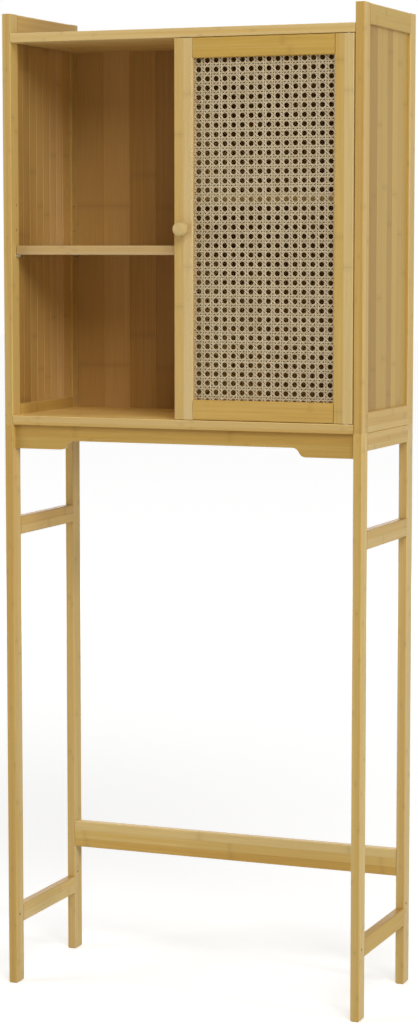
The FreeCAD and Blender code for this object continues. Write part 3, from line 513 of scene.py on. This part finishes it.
fittings = {
    "steel": {"colour": (0.56, 0.55, 0.53, 1), "worn": (0.40, 0.39, 0.37, 1),
              "metallic": 1.0, "roughness": 0.34, "grain": 2600.0, "bump": 0.15},
    "brad": {"colour": (0.10, 0.045, 0.025, 1), "worn": (0.17, 0.09, 0.05, 1),
             "metallic": 0.25, "roughness": 0.6, "grain": 2600.0, "bump": 0.2},
    "nylon": {"colour": (0.72, 0.70, 0.64, 1), "worn": (0.58, 0.55, 0.48, 1),
              "metallic": 0.0, "roughness": 0.5, "grain": 1400.0, "bump": 0.12},
    "magnet": {"colour": (0.05, 0.05, 0.052, 1), "worn": (0.10, 0.095, 0.09, 1),
               "metallic": 0.2, "roughness": 0.62, "grain": 3200.0, "bump": 0.3},
}
fittingWear = {
    "size": 0.08,               # scale of worn patches against that of the grain
    "patches": (0.45, 0.7),
    "grainBase": 0.9,
    "grainShade": 0.2,
    "grainRoughness": 0.25,
    "wornRoughness": 0.12,
    "bumpDepth": 0.0001,
}


def fittingFinish(name):
    look = fittings[name]
    wear = fittingWear
    material, wire, shader = startMaterial(name + "Fitting", {"Metallic": look["metallic"]})
    spot = wire.node("ShaderNodeTexCoord", outlet="Object")
    grains = spot.noise(look["grain"], roughness=0.6)
    worn = spot.noise(look["grain"] * wear["size"], detail=3.0, roughness=0.6).rise(*wear["patches"])
    colour = worn.blend(look["colour"], look["worn"]).shaded(wear["grainBase"] + grains * wear["grainShade"])
    roughness = look["roughness"] + grains.centred() * wear["grainRoughness"] + worn * wear["wornRoughness"]
    finishMaterial(shader, colour, roughness, grains, wear["bumpDepth"], look["bump"])
    return material


fittingFinishes = {name: fittingFinish(name) for name in fittings}
for name in nodes:
    if slotOf[name] in fittings:
        dress(name, fittingFinishes[slotOf[name]])
print("fittings dressed")


# Geometry node trees: named sizes in, one plain mesh out

def startGrowth(name, sizes):
    tree = bpy.data.node_groups.new(name, "GeometryNodeTree")
    tree.interface.new_socket("Geometry", in_out="OUTPUT", socket_type="NodeSocketGeometry")
    kinds = {int: "NodeSocketInt", float: "NodeSocketFloat", tuple: "NodeSocketVector"}
    tree.interface.new_socket("Start", in_out="INPUT", socket_type="NodeSocketGeometry")
    for label, size in sizes.items():
        tree.interface.new_socket(label, in_out="INPUT", socket_type=kinds[type(size)])
    entry = tree.nodes.new("NodeGroupInput")
    return tree, {socket.name: Wire(tree, socket) for socket in entry.outputs if socket.name}


def finishGrowth(geometry, material):
    tree = geometry.tree
    plain = geometry.node("GeometryNodeRealizeInstances", sockets={0: geometry})
    coated = plain.node("GeometryNodeSetMaterial", sockets={"Geometry": plain, "Material": material})
    tree.links.new(coated.socket, tree.nodes.new("NodeGroupOutput").inputs[0])


def grow(name, tree, sizes, startMesh):
    piece = bpy.data.objects.new(name, startMesh)
    scene.collection.objects.link(piece)
    modifier = piece.modifiers.new("growth", "NODES")
    modifier.node_group = tree
    for item in tree.interface.items_tree:
        if item.in_out == "INPUT" and item.name in sizes:
            modifier[item.identifier] = sizes[item.name]
    graph = bpy.context.evaluated_depsgraph_get()
    grown = piece.evaluated_get(graph)
    mesh = bpy.data.meshes.new_from_object(grown, preserve_all_data_layers=True, depsgraph=graph)
    piece.modifiers.clear()
    piece.data = mesh
    print(name, "grown:", len(mesh.polygons), "faces")
    return piece


# Woven cane: pairs of upright and level strands in plain weave, and two sets of diagonals that lock them

caneLow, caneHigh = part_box("cane_webbing")
caneHem = Vector((0.004, 0.0, 0.004))          # the strands end inside the frame's rabbet
cane = {
    "Corner": (0.0255, -0.1194, 1.05825),      # first crossing of an upright and a level pair
    "Pitch Across": 0.01578,
    "Pitch Up": 0.0155,
    "Columns": 16,
    "Rows": 37,
    "Pane Low": tuple(caneLow + caneHem),
    "Pane High": tuple(caneHigh - caneHem),
    "Pair Spread": 0.00215,
    "Strand Width": 0.0033,
    "Diagonal Width": 0.0027,
    "Strand Thickness": 0.0007,
    "Strand Sides": 6,
    "Pair Wave": 0.00047,
    "Diagonal Wave": 0.00078,
    "Steps": 6,                                # bends in each pitch
    "Seed": 5,
}
caneLook = {
    "gloss": {"Coat Weight": 0.15, "Coat Roughness": 0.25},
    "brown": (0.44, 0.34, 0.19, 1),
    "pale": (0.58, 0.47, 0.29, 1),
    "edge": (0.28, 0.20, 0.10, 1),
    "brownToPale": (-0.1, 0.9),
    "toneSpread": 0.7,
    "streakSpread": 0.9,
    "streakLength": 0.03,
    "streaksAcross": 4,
    "streakSeed": 80,
    "patchSpread": 0.9,
    "patchesAlong": 14,         # in a metre of strand
    "patchSeed": 90,
    "thinSide": (0.45, 0.9),    # from the middle of a strand, 0, to its thin side, 1
    "edgeStrength": 0.4,
    "roughness": 0.42,
    "streakRoughness": 0.3,
    "bumpDepth": 0.0002,
    "bumpStrength": 0.3,
}


def caneFinish():
    look = caneLook
    material, wire, shader = startMaterial("cane", look["gloss"])
    tone, run, side = (wire.node("ShaderNodeAttribute", {"attribute_name": name}, outlet="Fac")
                       for name in ("tone", "run", "side"))
    streaks = wire.joined(run / look["streakLength"], side * look["streaksAcross"],
                          tone * look["streakSeed"]).noise(detail=3.0, roughness=0.6)
    patches = wire.joined(run * look["patchesAlong"], tone * look["patchSeed"], 0.0).noise()
    place = (tone * look["toneSpread"] + streaks.centred() * look["streakSpread"]
             + patches.centred() * look["patchSpread"])
    colour = place.rise(*look["brownToPale"]).blend(look["brown"], look["pale"])
    thin = side.maths("ABSOLUTE").rise(*look["thinSide"])
    colour = (thin * look["edgeStrength"]).blend(colour, look["edge"])
    roughness = look["roughness"] + streaks.centred() * look["streakRoughness"]
    finishMaterial(shader, colour, roughness, streaks, look["bumpDepth"], look["bumpStrength"])
    return material


def tagged(geometry, name, value, domain="POINT"):
    return geometry.node("GeometryNodeStoreNamedAttribute", {"data_type": "FLOAT", "domain": domain},
                         {"Geometry": geometry, "Name": name, "Value": value})


def strandProfile(wire, sizes, width):
    ring = wire.node("GeometryNodeCurvePrimitiveCircle", sockets={
        "Resolution": sizes["Strand Sides"], "Radius": 1.0})
    ring = tagged(ring, "side", wire.node("GeometryNodeInputPosition").split()[1])
    flat = wire.joined(sizes["Strand Thickness"] * 0.5, width * 0.5, 1.0)
    return wire.node("GeometryNodeTransform", sockets={"Geometry": ring, "Scale": flat})


def strandMesh(strands, wire, sizes, width, offset, salt):
    chance = wire.node("FunctionNodeRandomValue", {"data_type": "FLOAT"}, {"Seed": sizes["Seed"] + salt},
                       outlet=1)
    strands = tagged(strands, "tone", chance, "CURVE")
    strands = tagged(strands, "run", wire.node("GeometryNodeSplineParameter", outlet="Length"))
    strands = wire.node("GeometryNodeSetPosition", sockets={
        "Geometry": strands, "Offset": wire.joined(0.0, offset, 0.0)})
    strands = wire.node("GeometryNodeSetCurveNormal", {"mode": "FREE"}, {
        "Curve": strands, "Normal": (0, -1, 0)})
    mesh = wire.node("GeometryNodeCurveToMesh", sockets={
        "Curve": strands, "Profile Curve": strandProfile(wire, sizes, width), "Fill Caps": True})
    return wire.node("GeometryNodeSetShadeSmooth", sockets={"Geometry": mesh})


def strandLines(wire, count, first, step, end, bends):
    line = wire.node("GeometryNodeCurvePrimitiveLine", sockets={"End": end})
    line = wire.node("GeometryNodeResampleCurve", sockets={"Curve": line, "Count": bends})
    starts = wire.node("GeometryNodeMeshLine", sockets={
        "Count": count, "Start Location": first, "Offset": step})
    lines = wire.node("GeometryNodeInstanceOnPoints", sockets={"Points": starts, "Instance": line})
    return wire.node("GeometryNodeRealizeInstances", sockets={0: lines})


def startWeave(name):
    tree, sizes = startGrowth(name, cane)
    places = [sizes[label].split() for label in ("Corner", "Pane Low", "Pane High")]
    places.append(sizes["Seed"].node("GeometryNodeInputPosition").split())
    return tree, sizes, places


def waveAlong(spot, corner, pitch):  # one full turn in each pitch
    return (spot - corner) / pitch * math.tau


def canePairs(material):
    tree, sizes, places = startWeave("canePairs")
    (cornerX, plane, cornerZ), (lowX, _, lowZ), (highX, _, highZ), (spotX, _, spotZ) = places
    wire, pitchX, pitchZ = sizes["Seed"], sizes["Pitch Across"], sizes["Pitch Up"]
    waveUp = waveAlong(spotZ, cornerZ, pitchZ)
    waveAcross = waveAlong(spotX, cornerX, pitchX)
    meshes = []
    for salt, side in enumerate((-1.0, 1.0)):
        spread = sizes["Pair Spread"] * side
        uprights = strandLines(
            wire, sizes["Columns"] + 1, wire.joined(cornerX + spread, plane, lowZ),
            wire.joined(pitchX, 0.0, 0.0), wire.joined(0.0, 0.0, highZ - lowZ),
            sizes["Rows"] * sizes["Steps"])
        offset = waveUp.maths("SINE") * sizes["Pair Wave"] * side
        meshes.append(strandMesh(uprights, wire, sizes, sizes["Strand Width"], offset, salt))
        levels = strandLines(
            wire, sizes["Rows"], wire.joined(lowX, plane, cornerZ + spread),
            wire.joined(0.0, 0.0, pitchZ), wire.joined(highX - lowX, 0.0, 0.0),
            sizes["Columns"] * sizes["Steps"])
        offset = waveAcross.maths("SINE") * sizes["Pair Wave"] * -side
        meshes.append(strandMesh(levels, wire, sizes, sizes["Strand Width"], offset, salt + 2))
    finishGrowth(wire.node("GeometryNodeJoinGeometry", sockets={0: meshes}), material)
    return tree


def caneDiagonals(material):
    tree, sizes, places = startWeave("caneDiagonals")
    (cornerX, plane, cornerZ), (lowX, _, lowZ), (highX, _, highZ), (spotX, _, spotZ) = places
    wire, pitchX, pitchZ = sizes["Seed"], sizes["Pitch Across"], sizes["Pitch Up"]
    wave = waveAlong(spotX, cornerX, pitchX)
    lift = sizes["Rows"] + 2            # a diagonal climbs from a row below the pane to a row above it
    limits = (("LESS_THAN", spotX, lowX), ("GREATER_THAN", spotX, highX),
              ("LESS_THAN", spotZ, lowZ), ("GREATER_THAN", spotZ, highZ))
    meshes = []
    for salt, lean in enumerate((1.0, -1.0)):
        firstX = cornerX - pitchX * (0.5 + (sizes["Rows"] + 1) * (lean + 1) / 2)
        lines = strandLines(
            wire, sizes["Columns"] + sizes["Rows"] + 3, wire.joined(firstX, plane, cornerZ - pitchZ),
            wire.joined(pitchX, 0.0, 0.0), wire.joined(pitchX * lift * lean, 0.0, pitchZ * lift),
            lift * sizes["Steps"] + 1)
        outside = [wire.node("FunctionNodeCompare", {"operation": operation}, {0: spot, 1: limit})
                   for operation, spot, limit in limits]
        beyond = outside[0]
        for edge in outside[1:]:
            beyond = wire.node("FunctionNodeBooleanMath", {"operation": "OR"}, {0: beyond, 1: edge})
        lines = wire.node("GeometryNodeDeleteGeometry", {"domain": "POINT"}, {
            "Geometry": lines, "Selection": beyond})
        offset = wave.maths("COSINE") * sizes["Diagonal Wave"] * lean
        meshes.append(strandMesh(lines, wire, sizes, sizes["Diagonal Width"], offset, salt + 4))
    finishGrowth(wire.node("GeometryNodeJoinGeometry", sockets={0: meshes}), material)
    return tree


caneMaterial = caneFinish()
for name, tree in (("cane_pairs", canePairs(caneMaterial)), ("cane_diagonals", caneDiagonals(caneMaterial))):
    weave = grow(name, tree, cane, bpy.data.meshes.new(name))
    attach(weave, "door")
    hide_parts("cane_webbing")
print("cane woven")


# Turned knob: domed face, rounded rim and a short neck

knob = {
    "axis": (0.009, 1.342),   # x and z of its centre
    "foot": -0.129,           # where it meets the door
    "profile": [              # radius and distance from the door
        (0.0, 0.0220), (0.0040, 0.0219), (0.0080, 0.0213), (0.0108, 0.0200), (0.0125, 0.0178),
        (0.0130, 0.0150), (0.0130, 0.0115), (0.0126, 0.0085), (0.0116, 0.0062), (0.0099, 0.0047),
        (0.0083, 0.0037), (0.0076, 0.0024), (0.0076, 0.0006), (0.0076, 0.0), (0.0, 0.0)],
    "steps": 48,
    "mergeGap": 0.00001,
    "grain": 2,               # upright
    "seed": 77,
    "tone": 0.8,
}


def turnKnob():
    centreX, centreZ = knob["axis"]
    shape = bmesh.new()
    rim = [shape.verts.new((centreX + radius, knob["foot"] - out, centreZ))
           for radius, out in knob["profile"]]
    edges = [shape.edges.new(pair) for pair in zip(rim, rim[1:])]
    bmesh.ops.spin(shape, geom=rim + edges, cent=(centreX, 0, centreZ), axis=(0, 1, 0), dvec=(0, 0, 0),
                   angle=math.tau, steps=knob["steps"], use_duplicate=False)
    bmesh.ops.remove_doubles(shape, verts=shape.verts, dist=knob["mergeGap"])
    bmesh.ops.recalc_face_normals(shape, faces=shape.faces)
    for face in shape.faces:
        face.smooth = True
    mesh = bpy.data.meshes.new("turned_knob")
    shape.to_mesh(mesh)
    shape.free()
    piece = bpy.data.objects.new("turned_knob", mesh)
    scene.collection.objects.link(piece)
    low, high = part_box("door_knob")
    mesh.materials.append(bambooFinish("turned_knob", low, high, knob["grain"], knob["seed"], knob["tone"]))
    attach(piece, "door")
    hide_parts("door_knob")


turnKnob()
print("knob turned")


# Brads and screw heads, one set of heads for each place

headShape = {                 # lengths as shares of the head's radius
    "sides": 20,
    "top": 0.8,
    "slotLength": 1.1,
    "slotWidth": 0.22,
    "leastRecess": 0.00001,   # heads with less than this, in metres, have no slots
}
headSpots = {
    "legScrews": ((-0.1155, 0.1236), (0.1324, 0.1457)),   # y and z in a front leg and in a rear leg
    "stileBrads": (-0.106, 0.128),
    "stileBradLevel": 1.0134,
    "backBrads": (-0.29, -0.174, -0.058, 0.058, 0.174, 0.29),
    "backBradLevels": (1.010, 1.6705),
    "catchScrewInset": 0.0045,
}
outerFace, leftLegInside = cadBox[1].x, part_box("front_left_leg")[1].x
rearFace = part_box("back_panel")[1].y
catchLow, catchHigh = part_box("catch_body")
strikeLow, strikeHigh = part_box("strike_plate")
catchMiddle, strikeMiddle = (catchLow + catchHigh) / 2, (strikeLow + strikeHigh) / 2
catchScrews = (catchLow.x + headSpots["catchScrewInset"], catchHigh.x - headSpots["catchScrewInset"])
heads = {  # Proud is how far a head stands out of its face; each place has the way that its head faces
    "leg_screws": {
        "body": "cabinet", "finish": "brad",
        "Radius": 0.0026, "Height": 0.001, "Recess": 0.0006, "Proud": 0.0002,
        "places": [((x, y, z), (1, 0, 0))
                   for x in (leftLegInside, outerFace) for y, z in headSpots["legScrews"]]},
    "stile_brads": {
        "body": "cabinet", "finish": "brad",
        "Radius": 0.0011, "Height": 0.0005, "Recess": 0.0, "Proud": 0.0001,
        "places": [((side * outerFace, y, headSpots["stileBradLevel"]), (side, 0, 0))
                   for side in (-1, 1) for y in headSpots["stileBrads"]]},
    "back_brads": {
        "body": "cabinet", "finish": "brad",
        "Radius": 0.0014, "Height": 0.0006, "Recess": 0.0, "Proud": 0.0002,
        "places": [((x, rearFace, z), (0, 1, 0))
                   for x in headSpots["backBrads"] for z in headSpots["backBradLevels"]]},
    "catch_screws": {
        "body": "cabinet", "finish": "steel",
        "Radius": 0.0024, "Height": 0.0013, "Recess": 0.0008, "Proud": 0.0009,
        "places": [((x, catchMiddle.y, catchLow.z), (0, 0, -1)) for x in catchScrews]},
    "strike_screw": {
        "body": "door", "finish": "steel",
        "Radius": 0.0026, "Height": 0.0012, "Recess": 0.0007, "Proud": 0.0001,
        "places": [((strikeMiddle.x, strikeHigh.y, strikeMiddle.z), (0, 1, 0))]},
}
headSizes = ("Radius", "Height", "Recess")


def headTree(material):
    tree, sizes = startGrowth("fastenerHeads", dict.fromkeys(headSizes, 0.0))
    wire = radius = sizes["Radius"]
    height, recess = sizes["Height"], sizes["Recess"]
    head = wire.node("GeometryNodeMeshCone", sockets={
        "Vertices": headShape["sides"], "Radius Top": radius * headShape["top"], "Radius Bottom": radius,
        "Depth": height})
    head = wire.node("GeometryNodeTransform", sockets={
        "Geometry": head, "Translation": wire.joined(0.0, 0.0, height * -1)})
    length, width = radius * headShape["slotLength"], radius * headShape["slotWidth"]
    slots = [wire.node("GeometryNodeMeshCube", sockets={"Size": wire.joined(x, y, recess * 2)})
             for x, y in ((length, width), (width, length))]
    cross = wire.node("GeometryNodeJoinGeometry", sockets={0: slots})
    cut = wire.node("GeometryNodeMeshBoolean", {"operation": "DIFFERENCE", "solver": "EXACT"}, {
        "Mesh 1": head, "Mesh 2": cross, "Self Intersection": True})
    driven = wire.node("FunctionNodeCompare", {"operation": "GREATER_THAN"}, {
        0: recess, 1: headShape["leastRecess"]})
    head = wire.node("GeometryNodeSwitch", {"input_type": "GEOMETRY"}, {
        "Switch": driven, "False": head, "True": cut})
    facing = wire.node("GeometryNodeInputNamedAttribute", {"data_type": "FLOAT_VECTOR"}, {"Name": "facing"})
    turn = wire.node("FunctionNodeAlignRotationToVector", {"axis": "Z"}, {"Vector": facing})
    placed = wire.node("GeometryNodeInstanceOnPoints", sockets={
        "Points": sizes["Start"], "Instance": head, "Rotation": turn})
    finishGrowth(placed, material)
    return tree


headTrees = {finish: headTree(fittingFinishes[finish]) for finish in ("brad", "steel")}
for name, kind in heads.items():
    spots = bpy.data.meshes.new(name)
    centres = [Vector(place) + Vector(facing) * kind["Proud"] for place, facing in kind["places"]]
    spots.from_pydata(centres, [], [])
    facings = spots.attributes.new("facing", "FLOAT_VECTOR", "POINT")
    for item, (_, facing) in zip(facings.data, kind["places"]):
        item.vector = facing
    piece = grow(name, headTrees[kind["finish"]], {size: kind[size] for size in headSizes}, spots)
    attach(piece, kind["body"])
print("fasteners set")
